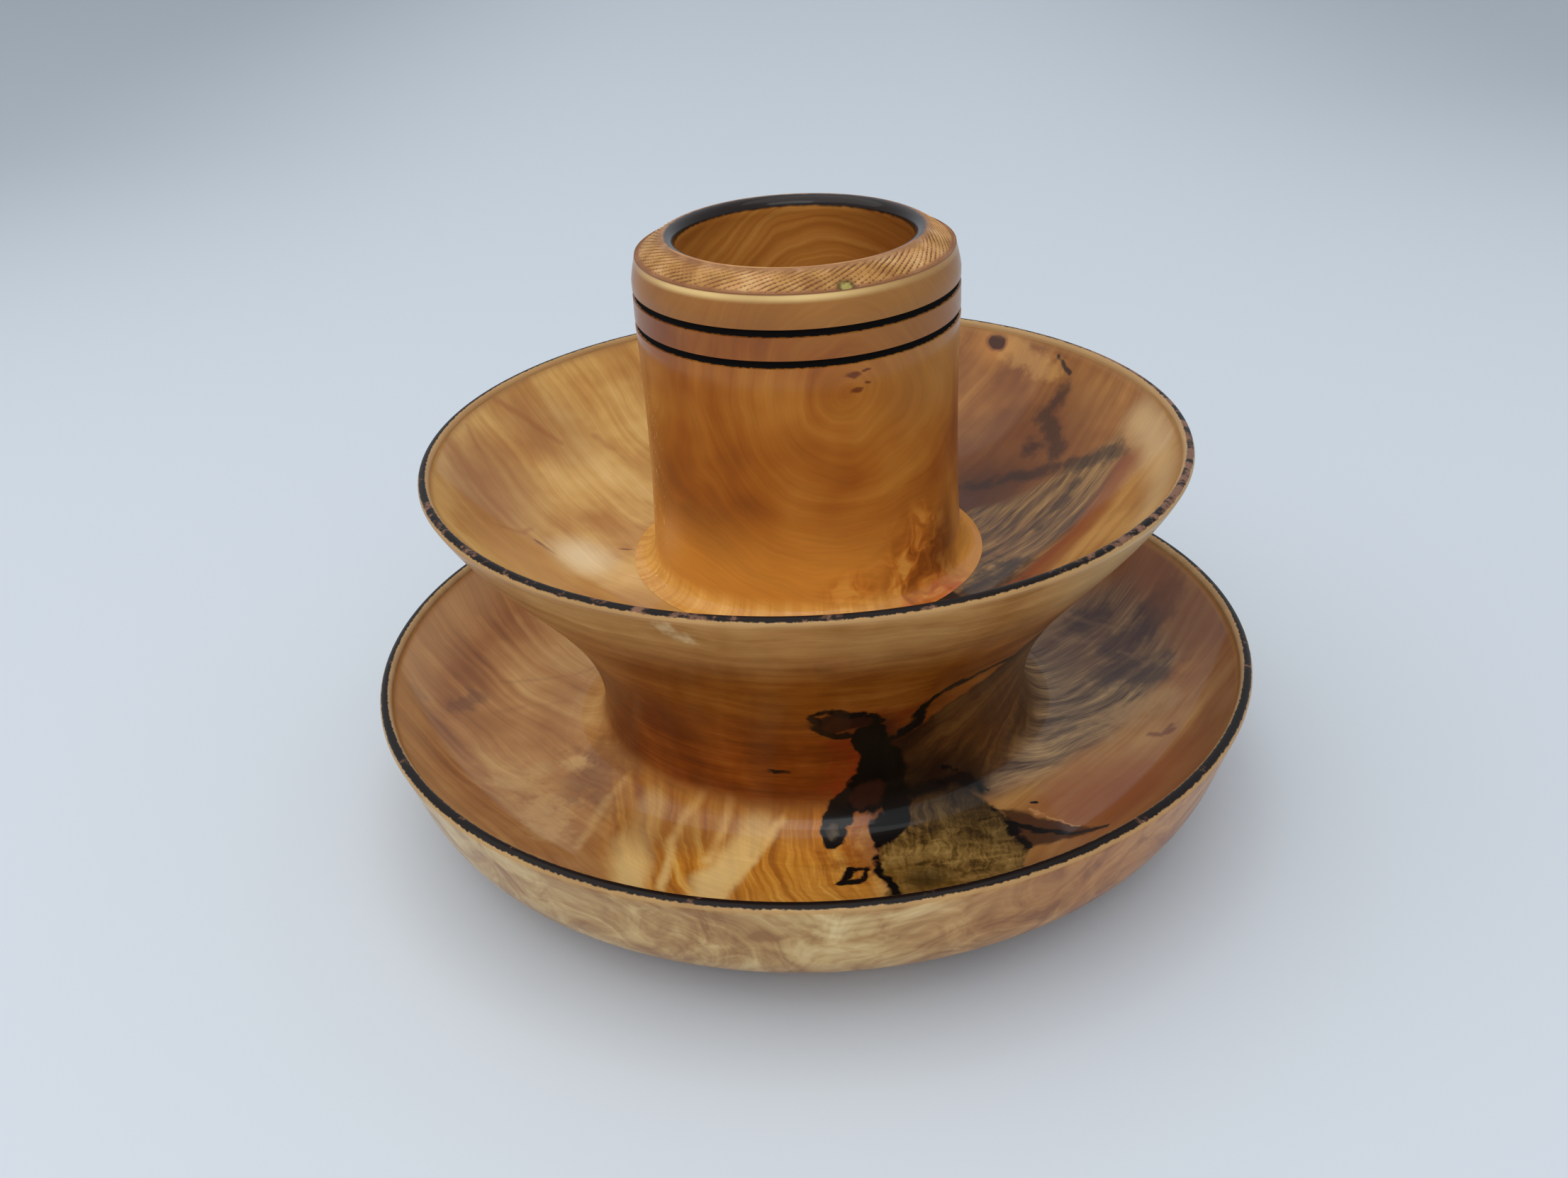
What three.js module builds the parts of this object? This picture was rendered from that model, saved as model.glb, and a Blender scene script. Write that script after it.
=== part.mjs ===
// Chip and dip server: a wide turned dish, a smaller bowl raised over it on a waisted stem, and a
// dip cup standing in the bowl. Each of the three is turned from solid figured wood, and each one
// above is glued into the one below it by a round spigot in a socket. Nothing moves.
//
// Millimetres, +Z up. The origin is on the axis of turning, in the plane that the foot stands on.
import * as THREE from "three";

// Turning
const SEGMENTS = 60;
const CURVE_STEP_LENGTH = 9;
const FEWEST_CURVE_STEPS = 3;
const GLUE_GAP = 0.3;

// Dish
const DISH_RADIUS = 155;
const DISH_RIM_HEIGHT = 52.2;
const DISH_LIP_WIDTH = 4.4;
const DISH_FLOOR_HEIGHT = 21;
const FOOT_RADIUS = 98;
const FOOT_HEIGHT = 5;
const FOOT_RING_WIDTH = 14;
const FOOT_RECESS = 2.5;
const FOOT_EASING = 1.5;

// Bowl and its stem
const BOWL_RADIUS = 130.1;
const BOWL_RIM_HEIGHT = 131;
const BOWL_LIP_WIDTH = 4;
const BOWL_FLOOR_HEIGHT = 90;
const WAIST_RADIUS = 76.7;
const WAIST_HEIGHT = 39;
const STEM_FOOT_RADIUS = 93;
const STEM_SPIGOT_RADIUS = 32;
const STEM_SPIGOT_LENGTH = 11.5;

// Dip cup
const CUP_RADIUS = 53.4;
const CUP_HOLLOWING = 0.9;
const CUP_HEIGHT = 204;
const CUP_COVE_RADIUS = 7.8;
const CUP_SPIGOT_RADIUS = 20;
const CUP_SPIGOT_LENGTH = 11.5;
const CUP_BORE_RADIUS = 40.4;
const CUP_MOUTH_RADIUS = 38.6;
const CUP_FLOOR_THICKNESS = 12;
const CUP_BORE_CORNER = 14;
const MOUTH_ROUNDING = 4;
const MOUTH_TAPER_LENGTH = 16;

// Burned grooves and the domed ring round the mouth
const GROOVE_RADIUS = 1.3;
const GROOVE_DEPTHS_BELOW_TOP = [26.7, 16.9];
const SHOULDER_DEPTH_BELOW_TOP = 13;
const DOME_INSET = 2.2;
const DOME_HEIGHT = 5.1;
const STEP_RADIUS = 0.5;

// A cove ends in a thin edge on the wood below. Sockets are deeper than their spigots, so each
// seat closes before its spigot bottoms.
const EDGE_THICKNESS = 0.6;
const SOCKET_CLEARANCE = GLUE_GAP;
const SOCKET_BOTTOM_SPACE = 0.7;

// Shapes of the long curves. The two handles of each are shares of its run across and of its rise.
const DISH_UNDERSIDE = [[0.885, 0.09], [0.8, 0.37]];
const DISH_HOLLOW = [[0.17, 0.47], [0.44, 1]];
const STEM_COVE = [[0.6, 0], [1, 0.4]];
const BOWL_UNDERSIDE = [[0, 0.43], [0.764, 0.715]];
const BOWL_HOLLOW = [[0.2, 0.45], [0.6, 1]];
const SHOULDER = [[0.2, 0.35], [0.75, 0.75]];
const DOME = [[0.35, 0.5], [0.7, 0.85]];

const QUARTER_TURN = Math.PI / 2;

function dishOutline() {
  const lip = DISH_LIP_WIDTH / 2;
  const footFlat = FOOT_RADIUS - FOOT_EASING;
  const footInside = FOOT_RADIUS - FOOT_RING_WIDTH;
  const socket = STEM_SPIGOT_RADIUS + SOCKET_CLEARANCE;
  const socketFloor = stemSeat() - STEM_SPIGOT_LENGTH - SOCKET_BOTTOM_SPACE;
  const outline = new THREE.Path();
  outline.moveTo(0, FOOT_RECESS);
  outline.lineTo(footInside - FOOT_RECESS, FOOT_RECESS);
  outline.lineTo(footInside, 0);
  outline.lineTo(footFlat, 0);
  outline.absarc(footFlat, FOOT_EASING, FOOT_EASING, -QUARTER_TURN, 0, false);
  outline.lineTo(FOOT_RADIUS, FOOT_HEIGHT);
  sweepTo(outline, DISH_RADIUS, DISH_RIM_HEIGHT, DISH_UNDERSIDE);
  outline.absarc(DISH_RADIUS - lip, DISH_RIM_HEIGHT, lip, 0, Math.PI, false);
  sweepTo(outline, STEM_FOOT_RADIUS, DISH_FLOOR_HEIGHT, DISH_HOLLOW);
  outline.lineTo(socket, DISH_FLOOR_HEIGHT);
  outline.lineTo(socket, socketFloor);
  outline.lineTo(0, socketFloor);
  return outline;
}

function bowlOutline() {
  const seat = stemSeat();
  const lip = BOWL_LIP_WIDTH / 2;
  const socket = CUP_SPIGOT_RADIUS + SOCKET_CLEARANCE;
  const socketFloor = cupSeat() - CUP_SPIGOT_LENGTH - SOCKET_BOTTOM_SPACE;
  const outline = new THREE.Path();
  outline.moveTo(0, seat - STEM_SPIGOT_LENGTH);
  outline.lineTo(STEM_SPIGOT_RADIUS, seat - STEM_SPIGOT_LENGTH);
  outline.lineTo(STEM_SPIGOT_RADIUS, seat);
  outline.lineTo(STEM_FOOT_RADIUS, seat);
  outline.lineTo(STEM_FOOT_RADIUS, seat + EDGE_THICKNESS);
  sweepTo(outline, WAIST_RADIUS, WAIST_HEIGHT, STEM_COVE);
  sweepTo(outline, BOWL_RADIUS, BOWL_RIM_HEIGHT, BOWL_UNDERSIDE);
  outline.absarc(BOWL_RADIUS - lip, BOWL_RIM_HEIGHT, lip, 0, Math.PI, false);
  sweepTo(outline, cupFootRadius(), BOWL_FLOOR_HEIGHT, BOWL_HOLLOW);
  outline.lineTo(socket, BOWL_FLOOR_HEIGHT);
  outline.lineTo(socket, socketFloor);
  outline.lineTo(0, socketFloor);
  return outline;
}

function cupOutline() {
  const outline = new THREE.Path();
  outline.moveTo(0, cupSeat() - CUP_SPIGOT_LENGTH);
  outline.lineTo(CUP_SPIGOT_RADIUS, cupSeat() - CUP_SPIGOT_LENGTH);
  outline.lineTo(CUP_SPIGOT_RADIUS, cupSeat());
  outline.lineTo(cupFootRadius(), cupSeat());
  addCupWall(outline);
  addCupTop(outline);
  addCupBore(outline);
  return outline;
}

function addCupWall(outline) {
  const coveTop = cupSeat() + EDGE_THICKNESS + CUP_COVE_RADIUS;
  const grooves = GROOVE_DEPTHS_BELOW_TOP.map((depth) => CUP_HEIGHT - depth);
  const wallTop = grooves[0] - GROOVE_RADIUS;
  outline.lineTo(cupFootRadius(), cupSeat() + EDGE_THICKNESS);
  outline.absarc(cupFootRadius(), coveTop, CUP_COVE_RADIUS, -QUARTER_TURN, Math.PI, true);
  outline.quadraticCurveTo(
    CUP_RADIUS - 2 * CUP_HOLLOWING, (coveTop + wallTop) / 2,
    CUP_RADIUS, wallTop,
  );
  for (const height of grooves) {
    outline.lineTo(CUP_RADIUS, height - GROOVE_RADIUS);
    outline.absarc(CUP_RADIUS, height, GROOVE_RADIUS, -QUARTER_TURN, QUARTER_TURN, true);
  }
}

function addCupTop(outline) {
  const dome = CUP_RADIUS - DOME_INSET;
  const domeBase = CUP_HEIGHT - DOME_HEIGHT;
  outline.lineTo(CUP_RADIUS, CUP_HEIGHT - SHOULDER_DEPTH_BELOW_TOP);
  sweepTo(outline, dome + STEP_RADIUS, domeBase, SHOULDER);
  outline.absarc(dome, domeBase, STEP_RADIUS, 0, Math.PI, true);
  sweepTo(outline, CUP_MOUTH_RADIUS + MOUTH_ROUNDING, CUP_HEIGHT, DOME);
  outline.quadraticCurveTo(
    CUP_MOUTH_RADIUS, CUP_HEIGHT,
    CUP_MOUTH_RADIUS, CUP_HEIGHT - MOUTH_ROUNDING,
  );
}

function addCupBore(outline) {
  const floor = cupSeat() + CUP_FLOOR_THICKNESS;
  const corner = CUP_BORE_CORNER;
  outline.quadraticCurveTo(
    CUP_BORE_RADIUS, CUP_HEIGHT - MOUTH_TAPER_LENGTH / 2,
    CUP_BORE_RADIUS, CUP_HEIGHT - MOUTH_TAPER_LENGTH,
  );
  outline.lineTo(CUP_BORE_RADIUS, floor + corner);
  outline.absarc(CUP_BORE_RADIUS - corner, floor + corner, corner, 0, -QUARTER_TURN, true);
  outline.lineTo(0, floor);
}

// The planes on which the stem stands in the dish, and the cup in the bowl
function stemSeat() {
  return DISH_FLOOR_HEIGHT + GLUE_GAP;
}

function cupSeat() {
  return BOWL_FLOOR_HEIGHT + GLUE_GAP;
}

function cupFootRadius() {
  return CUP_RADIUS + CUP_COVE_RADIUS;
}

function sweepTo(outline, radius, height, [[across1, up1], [across2, up2]]) {
  const { x, y } = outline.currentPoint;
  const run = radius - x;
  const rise = height - y;
  outline.bezierCurveTo(
    x + across1 * run, y + up1 * rise,
    x + across2 * run, y + up2 * rise,
    radius, height,
  );
}

// Turns an outline, which starts and ends on the axis and keeps its wood on the left, about +Z.
function turned(name, outline, finish) {
  const points = outline.curves.flatMap(curvePoints).filter(isApart);
  const geometry = new THREE.LatheGeometry(points, SEGMENTS);
  geometry.rotateX(QUARTER_TURN);
  const mesh = new THREE.Mesh(geometry, new THREE.MeshStandardMaterial(finish));
  mesh.name = name;
  return mesh;
}

function curvePoints(curve) {
  if (curve.isLineCurve) {
    return curve.getPoints(1);
  }
  const steps = Math.ceil(curve.getLength() / CURVE_STEP_LENGTH);
  return curve.getPoints(Math.max(FEWEST_CURVE_STEPS, steps));
}

// Where two curves meet, the outline repeats a point. Only the first is kept.
function isApart(point, index, points) {
  return index === 0 || point.distanceTo(points[index - 1]) > 1e-3;
}

const server = new THREE.Group();
server.add(turned("lower_dish", dishOutline(), { color: 0xc99a5c, roughness: 0.25, metalness: 0 }));
server.add(turned("upper_bowl", bowlOutline(), { color: 0xc08a48, roughness: 0.25, metalness: 0 }));
server.add(turned("dip_cup", cupOutline(), { color: 0xb87f3c, roughness: 0.25, metalness: 0 }));

export default server;
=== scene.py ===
"""Chip and dip server of figured wood: a wide dish, a bowl on a waisted stem and a dip cup. All three
are turned and lacquered, with burned lips and grooves, and a ring of carved flutes round the mouth."""
import math
from functools import reduce

import bpy
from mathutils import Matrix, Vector, noise


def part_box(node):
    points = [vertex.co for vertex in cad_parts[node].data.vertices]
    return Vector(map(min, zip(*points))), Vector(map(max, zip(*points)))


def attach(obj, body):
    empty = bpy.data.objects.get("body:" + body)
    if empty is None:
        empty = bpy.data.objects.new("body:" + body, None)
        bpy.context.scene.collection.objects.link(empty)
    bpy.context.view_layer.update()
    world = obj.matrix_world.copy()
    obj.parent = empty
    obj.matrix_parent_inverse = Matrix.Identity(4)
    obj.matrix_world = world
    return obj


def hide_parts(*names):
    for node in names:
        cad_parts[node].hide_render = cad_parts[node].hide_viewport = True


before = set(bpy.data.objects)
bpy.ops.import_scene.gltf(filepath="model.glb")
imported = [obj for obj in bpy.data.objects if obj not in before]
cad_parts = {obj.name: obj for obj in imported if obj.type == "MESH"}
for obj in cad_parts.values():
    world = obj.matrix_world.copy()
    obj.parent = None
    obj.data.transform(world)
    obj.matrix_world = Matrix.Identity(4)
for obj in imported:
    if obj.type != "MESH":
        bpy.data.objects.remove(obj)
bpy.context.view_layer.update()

MM = 0.001


# ---- sizes in mm, as in the frame

def corners(node):
    """The low and the high corner of a node's box, in mm."""
    low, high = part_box(node)
    return [value / MM for value in low], [value / MM for value in high]


_, DISH_HIGH = corners("lower_dish")
BOWL_LOW, BOWL_HIGH = corners("upper_bowl")
CUP_LOW, CUP_HIGH = corners("dip_cup")

LIP_RISE = 0.866  # how far the frame's three-step lips stand over their middle, in lip radii
SPIGOT_LENGTH = 11.5
GLUE_GAP = 0.3
SOCKET_SPACE = 0.7  # left under a spigot
THIN_EDGE = 1.5  # the width over which a foot comes down to the wood below it

DISH_RADIUS = DISH_HIGH[0]
DISH_LIP = 2.2
DISH_RIM = DISH_HIGH[2] - LIP_RISE * DISH_LIP
DISH_FLOOR = 21
FOOT_RADIUS = 98
FOOT_HEIGHT = 5
FOOT_INSIDE = 84
FOOT_RECESS = 2.5
FOOT_EASING = 1.5

BOWL_RADIUS = BOWL_HIGH[0]
BOWL_LIP = 2
BOWL_RIM = BOWL_HIGH[2] - LIP_RISE * BOWL_LIP
BOWL_FLOOR = 90
STEM_SEAT = BOWL_LOW[2] + SPIGOT_LENGTH
STEM_SPIGOT = 32
STEM_FOOT = 93
WAIST_RADIUS = 76.7
WAIST_HEIGHT = 39

CUP_TOP = CUP_HIGH[2]
CUP_SEAT = CUP_LOW[2] + SPIGOT_LENGTH
CUP_SPIGOT = 20
CUP_COVE = 7.8
CUP_FOOT = CUP_HIGH[0]
CUP_RADIUS = CUP_FOOT - CUP_COVE
CUP_HOLLOWING = 0.9
CUP_FLOOR = CUP_SEAT + 12
CUP_BORE = 40.4
CUP_BORE_CORNER = 14
MOUTH_RADIUS = 38.6
MOUTH_ROUNDING = 4
MOUTH_TAPER = 16
GROOVES = (CUP_TOP - 26.7, CUP_TOP - 16.9)
GROOVE_RADIUS = 1.3
SHOULDER = CUP_TOP - 13
DOME_RADIUS = CUP_RADIUS - 2.2
DOME_BASE = CUP_TOP - 5.1
DOME_CREST = MOUTH_RADIUS + MOUTH_ROUNDING
STEP_WIDTH = 0.6
STEP_DEPTH = 0.9

# The same curve shapes as the frame: two handles, each a share of the run across and of the rise
DISH_UNDERSIDE = ((0.885, 0.09), (0.8, 0.37))
DISH_HOLLOW = ((0.17, 0.47), (0.44, 1))
STEM_COVE = ((0.6, 0), (1, 0.4))
BOWL_UNDERSIDE = ((0, 0.43), (0.764, 0.715))
BOWL_HOLLOW = ((0.2, 0.45), (0.6, 1))
SHOULDER_CURVE = ((0.2, 0.35), (0.75, 0.75))
DOME_CURVE = ((0.35, 0.5), (0.7, 0.85))


# ---- camera, floor and light

# The camera was fitted to both rims, the burned grooves and the cup's mouth.
SENSOR_WIDTH = 36
FOCAL_LENGTH = 37.08
CAMERA_DISTANCE = 0.5904  # from a point on the axis, CAMERA_LEVEL mm over the floor
CAMERA_LEVEL = DISH_RIM - 1
CAMERA_ELEVATION = math.radians(30.14)
CAMERA_TURN = [math.radians(angle) for angle in (61.68, 2.67, -0.39)]

SKY_COLOUR = (0.86, 0.93, 1, 1)
SKY_STRENGTH = 0.67
LIGHT_AIM = (0, 0, 0.08)

FLOOR_SIZE = 9
FLOOR_COLOUR = (0.62, 0.665, 0.715, 1)
# painted shade: the paper's colour in the far corners
FLOOR_CORNER_SHADE_COLOUR = (0.42, 0.465, 0.515, 1)
FLOOR_ROUGHNESS = 0.6


def show(thing):
    bpy.context.collection.objects.link(thing)


def add_camera():
    data = bpy.data.cameras.new("camera")
    data.sensor_width = SENSOR_WIDTH
    data.lens = FOCAL_LENGTH
    camera = bpy.data.objects.new("camera", data)
    back = CAMERA_DISTANCE * math.cos(CAMERA_ELEVATION)
    up = CAMERA_DISTANCE * math.sin(CAMERA_ELEVATION)
    camera.location = (0, -back, up + CAMERA_LEVEL * MM)
    camera.rotation_euler = CAMERA_TURN
    show(camera)
    bpy.context.scene.camera = camera


def add_softbox(name, place, size, power, colour):
    """A rectangular area light at a place in metres, turned to face the server."""
    data = bpy.data.lights.new(name, "AREA")
    data.shape = "RECTANGLE"
    data.size, data.size_y = size
    data.energy = power
    data.color = colour
    light = bpy.data.objects.new(name, data)
    light.location = place
    aim = Vector(LIGHT_AIM) - light.location
    light.rotation_euler = aim.to_track_quat("-Z", "Y").to_euler()
    show(light)


def add_studio():
    world = bpy.data.worlds.new("studio")
    world.use_nodes = True
    background = world.node_tree.nodes["Background"]
    background.inputs["Color"].default_value = SKY_COLOUR
    background.inputs["Strength"].default_value = SKY_STRENGTH
    bpy.context.scene.world = world
    bpy.context.scene.view_settings.view_transform = "Standard"
    add_softbox("overhead", place=(-0.5, -0.4, 1.7), size=(3, 3), power=24, colour=(1, 0.98, 0.95))
    add_softbox("front", place=(0.1, -1.9, 1.3), size=(1.6, 0.9), power=8.5, colour=(1, 0.99, 0.97))


def add_floor():
    half = FLOOR_SIZE / 2
    verts = [(-half, -half, 0), (half, -half, 0), (half, half, 0), (-half, half, 0)]
    mesh = bpy.data.meshes.new("floor")
    mesh.from_pydata(verts, [], [(0, 1, 2, 3)])
    floor = bpy.data.objects.new("floor", mesh)
    show(floor)
    mesh.materials.append(paper())


def paper():
    """The floor's pale paper, with painted shade that darkens it into the far corners."""
    kit = Kit("floor")
    # painted shade: the paper darkens toward the far corners, where the light falls off
    corner = kit.rise(kit.y, 250, 1200) * kit.rise(kit.math("ABSOLUTE", kit.x), 150, 900)
    paper_colour = kit.mix(FLOOR_COLOUR, FLOOR_CORNER_SHADE_COLOUR, corner)
    kit.tree.links.new(paper_colour.socket, kit.shader.inputs["Base Color"])
    kit.shader.inputs["Roughness"].default_value = FLOOR_ROUGHNESS
    return kit.material


# ---- turned outlines

FEWEST_STEPS = 4
SEGMENTS = 360
CUP_SEGMENTS = 672  # enough for the carved flutes
SMOOTH_BELOW = math.radians(50)


class Outline:
    """A profile to turn, as points (radius, height) in mm from the axis below to the axis above.
    Each stretch belongs to the part that was set last, which chooses its material."""

    def __init__(self, radius, height, part):
        self.points = [(radius, height)]
        self.parts = []
        self.part = part

    def add(self, radius, height):
        self.points.append((radius, height))
        self.parts.append(self.part)

    def line(self, radius, height, step=3):
        start = self.points[-1]
        count = max(1, math.ceil(math.dist(start, (radius, height)) / step))
        for i in range(1, count + 1):
            share = i / count
            across = start[0] + share * (radius - start[0])
            self.add(across, start[1] + share * (height - start[1]))

    def bezier(self, first, second, end, step=2):
        start = self.points[-1]
        length = math.dist(start, first) + math.dist(first, second) + math.dist(second, end)
        count = max(FEWEST_STEPS, math.ceil(length / step))
        for i in range(1, count + 1):
            t = i / count
            weights = ((1 - t) ** 3, 3 * t * (1 - t) ** 2, 3 * t * t * (1 - t), t ** 3)
            knots = (start, first, second, end)
            radius = sum(w * k[0] for w, k in zip(weights, knots))
            height = sum(w * k[1] for w, k in zip(weights, knots))
            self.add(radius, height)

    def sweep(self, radius, height, handles, step=2):
        """A curve whose two handles are shares of its run across and of its rise."""
        r, z = self.points[-1]
        first, second = [(r + across * (radius - r), z + up * (height - z)) for across, up in handles]
        self.bezier(first, second, (radius, height), step)

    def bend(self, corner, end, step=0.5):
        """A curve from here to the end that starts and ends along the two sides of a corner."""
        start = self.points[-1]
        first = [a + 2 / 3 * (c - a) for a, c in zip(start, corner)]
        second = [e + 2 / 3 * (c - e) for e, c in zip(end, corner)]
        self.bezier(first, second, end, step)

    def arc(self, middle, radius, start, end, step=0.4):
        """A round stretch, from one angle to another in degrees."""
        count = max(FEWEST_STEPS, math.ceil(abs(math.radians(end - start)) * radius / step))
        for i in range(1, count + 1):
            angle = math.radians(start + (end - start) * i / count)
            self.add(middle[0] + radius * math.cos(angle), middle[1] + radius * math.sin(angle))


def dish_outline():
    socket = STEM_SPIGOT + GLUE_GAP
    socket_floor = STEM_SEAT - SPIGOT_LENGTH - SOCKET_SPACE
    outline = Outline(0, FOOT_RECESS, "outside")
    outline.line(FOOT_INSIDE - FOOT_RECESS, FOOT_RECESS, 6)
    outline.bend((FOOT_INSIDE - 1, FOOT_RECESS), (FOOT_INSIDE, 0))
    outline.line(FOOT_RADIUS - FOOT_EASING, 0)
    outline.bend((FOOT_RADIUS, 0), (FOOT_RADIUS, FOOT_EASING))
    outline.line(FOOT_RADIUS, FOOT_HEIGHT - 1, 1)
    outline.bend((FOOT_RADIUS, FOOT_HEIGHT), (FOOT_RADIUS + 1.2, FOOT_HEIGHT + 0.1))
    outline.sweep(DISH_RADIUS, DISH_RIM, DISH_UNDERSIDE)
    outline.arc((DISH_RADIUS - DISH_LIP, DISH_RIM), DISH_LIP, 0, 180)
    outline.part = "inside"
    outline.sweep(STEM_FOOT, DISH_FLOOR, DISH_HOLLOW)
    outline.line(socket, DISH_FLOOR, 6)
    outline.line(socket, socket_floor)
    outline.line(0, socket_floor, 8)
    return outline


def bowl_outline():
    socket = CUP_SPIGOT + GLUE_GAP
    socket_floor = CUP_SEAT - SPIGOT_LENGTH - SOCKET_SPACE
    outline = Outline(0, STEM_SEAT - SPIGOT_LENGTH, "foot")
    outline.line(STEM_SPIGOT, STEM_SEAT - SPIGOT_LENGTH, 8)
    outline.line(STEM_SPIGOT, STEM_SEAT)
    outline.line(STEM_FOOT - THIN_EDGE, STEM_SEAT, 6)
    outline.line(STEM_FOOT, DISH_FLOOR + 0.05)
    outline.sweep(WAIST_RADIUS, WAIST_HEIGHT, STEM_COVE, 1)
    outline.part = "outside"
    outline.sweep(BOWL_RADIUS, BOWL_RIM, BOWL_UNDERSIDE)
    outline.arc((BOWL_RADIUS - BOWL_LIP, BOWL_RIM), BOWL_LIP, 0, 180)
    outline.part = "inside"
    outline.sweep(CUP_FOOT, BOWL_FLOOR, BOWL_HOLLOW)
    outline.line(socket, BOWL_FLOOR, 6)
    outline.line(socket, socket_floor)
    outline.line(0, socket_floor, 8)
    return outline


def cup_outline():
    cove_base = BOWL_FLOOR + 0.1
    cove_top = CUP_SEAT + CUP_COVE
    wall_top = GROOVES[0] - GROOVE_RADIUS
    outline = Outline(0, CUP_SEAT - SPIGOT_LENGTH, "outside")
    outline.line(CUP_SPIGOT, CUP_SEAT - SPIGOT_LENGTH, 8)
    outline.line(CUP_SPIGOT, CUP_SEAT)
    outline.line(CUP_FOOT - THIN_EDGE, CUP_SEAT, 8)
    outline.line(CUP_FOOT, cove_base)
    outline.bend((CUP_RADIUS, cove_base), (CUP_RADIUS, cove_top), 1.4)
    middle = (cove_top + GROOVES[0]) / 2
    outline.bend((CUP_RADIUS - 2 * CUP_HOLLOWING, middle), (CUP_RADIUS, wall_top), 5)
    for height in GROOVES:
        outline.line(CUP_RADIUS, height - GROOVE_RADIUS, 2)
        outline.arc((CUP_RADIUS, height), GROOVE_RADIUS, 270, 90)
    outline.line(CUP_RADIUS, SHOULDER, 1.5)
    outline.sweep(DOME_RADIUS + STEP_WIDTH, DOME_BASE, SHOULDER_CURVE, 1)
    step_middle = (DOME_RADIUS, DOME_BASE - STEP_DEPTH)
    outline.part = "dome"
    outline.bend(step_middle, (DOME_RADIUS - STEP_WIDTH, DOME_BASE), 0.25)
    outline.sweep(DOME_CREST, CUP_TOP, DOME_CURVE, 0.6)
    mouth = (MOUTH_RADIUS, CUP_TOP - MOUTH_ROUNDING)
    outline.part = "inside"
    outline.bend((MOUTH_RADIUS, CUP_TOP), mouth, 0.6)
    taper_end = (CUP_BORE, CUP_TOP - MOUTH_TAPER)
    outline.bend((CUP_BORE, CUP_TOP - MOUTH_TAPER / 2), taper_end, 3)
    outline.line(CUP_BORE, CUP_FLOOR + CUP_BORE_CORNER, 10)
    inner = CUP_BORE - CUP_BORE_CORNER
    outline.arc((inner, CUP_FLOOR + CUP_BORE_CORNER), CUP_BORE_CORNER, 0, -90, 4)
    outline.line(0, CUP_FLOOR, 12)
    return outline


def turned(name, node, outline, materials, segments, shape=None):
    """Turns an outline about the axis as one closed mesh that stands for the frame's node.
    shape(radius, angle, part) gives how far a point is lowered, in mm."""
    verts, depths = turned_points(outline, segments, shape)
    kinds = list(materials)
    faces, slots = turned_faces(outline, segments, kinds)
    mesh = bpy.data.meshes.new(name)
    mesh.from_pydata(verts, [], faces)
    if shape:
        valley = mesh.attributes.new("valley", "FLOAT", "POINT")
        valley.data.foreach_set("value", [depth / FLUTE_DEPTH for depth in depths])
    for kind in kinds:
        mesh.materials.append(materials[kind])
    mesh.polygons.foreach_set("material_index", slots)
    mesh.polygons.foreach_set("use_smooth", [True] * len(faces))
    mesh.set_sharp_from_angle(angle=SMOOTH_BELOW)
    piece = bpy.data.objects.new(name, mesh)
    show(piece)
    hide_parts(node)
    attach(piece, "root")


def turned_points(outline, segments, shape):
    """The two ends on the axis and the rings between them, in metres, and how far each is lowered."""
    rings = outline.points[1:-1]
    verts = [(0, 0, outline.points[0][1] * MM)]
    depths = [0]
    for part, (radius, height) in zip(outline.parts, rings):
        for i in range(segments):
            angle = 2 * math.pi * i / segments
            depth = shape(radius, angle, part) if shape else 0
            depths.append(depth)
            x = radius * MM * math.cos(angle)
            y = radius * MM * math.sin(angle)
            verts.append((x, y, (height - depth) * MM))
    verts.append((0, 0, outline.points[-1][1] * MM))
    depths.append(0)
    return verts, depths


def turned_faces(outline, segments, kinds):
    """The faces between the rings and the two ends, and the material slot of each."""
    rows = len(outline.points) - 2
    last = 1 + rows * segments
    top = last - segments
    faces, slots = [], []
    for i in range(segments):
        j = (i + 1) % segments
        faces.append((0, 1 + j, 1 + i))
        slots.append(kinds.index(outline.parts[0]))
        faces.append((last, top + i, top + j))
        slots.append(kinds.index(outline.parts[-1]))
        for row in range(rows - 1):
            low, high = 1 + row * segments, 1 + (row + 1) * segments
            faces.append((low + i, low + j, high + j, high + i))
            slots.append(kinds.index(outline.parts[row + 1]))
    return faces, slots


# ---- the carved ring

FLUTES = 88
FLUTE_TWIST = math.radians(24)
FLUTE_DEPTH = 0.8
FLUTE_SHARPNESS = 0.7
WAVER_SIZE = 6
WAVER_SHIFT = 1.6
WAVER_DEEPENING = 0.5
OUTER_FADE = 0.08
INNER_FADE = 0.2


def carved(radius, angle, part):
    """How far, in mm, the carving lowers the domed ring: slanting flutes with narrow valleys, cut
    unevenly."""
    outer = DOME_RADIUS - STEP_WIDTH
    if part != "dome":
        return 0
    across = (outer - radius) / (outer - DOME_CREST)
    if not 0 < across < 1:
        return 0
    spot = Vector((WAVER_SIZE * math.cos(angle), WAVER_SIZE * math.sin(angle), 2 * across))
    waver = noise.noise(spot)
    turn = FLUTES * (angle - FLUTE_TWIST * across) + WAVER_SHIFT * waver
    ridge = abs(math.sin(turn / 2))
    fade = min(1, across / OUTER_FADE, (1 - across) / INNER_FADE)
    return FLUTE_DEPTH * fade * (1 + WAVER_DEEPENING * waver) * (1 - ridge ** FLUTE_SHARPNESS)


# ---- a small language for materials

COAT = 0.4
COAT_ROUGHNESS = 0.09
SPECULAR_LEVEL = 0.12


class Term:
    """A value in a material's nodes. Sums and products of terms add the nodes for them."""

    def __init__(self, kit, socket):
        self.kit = kit
        self.socket = socket


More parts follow.
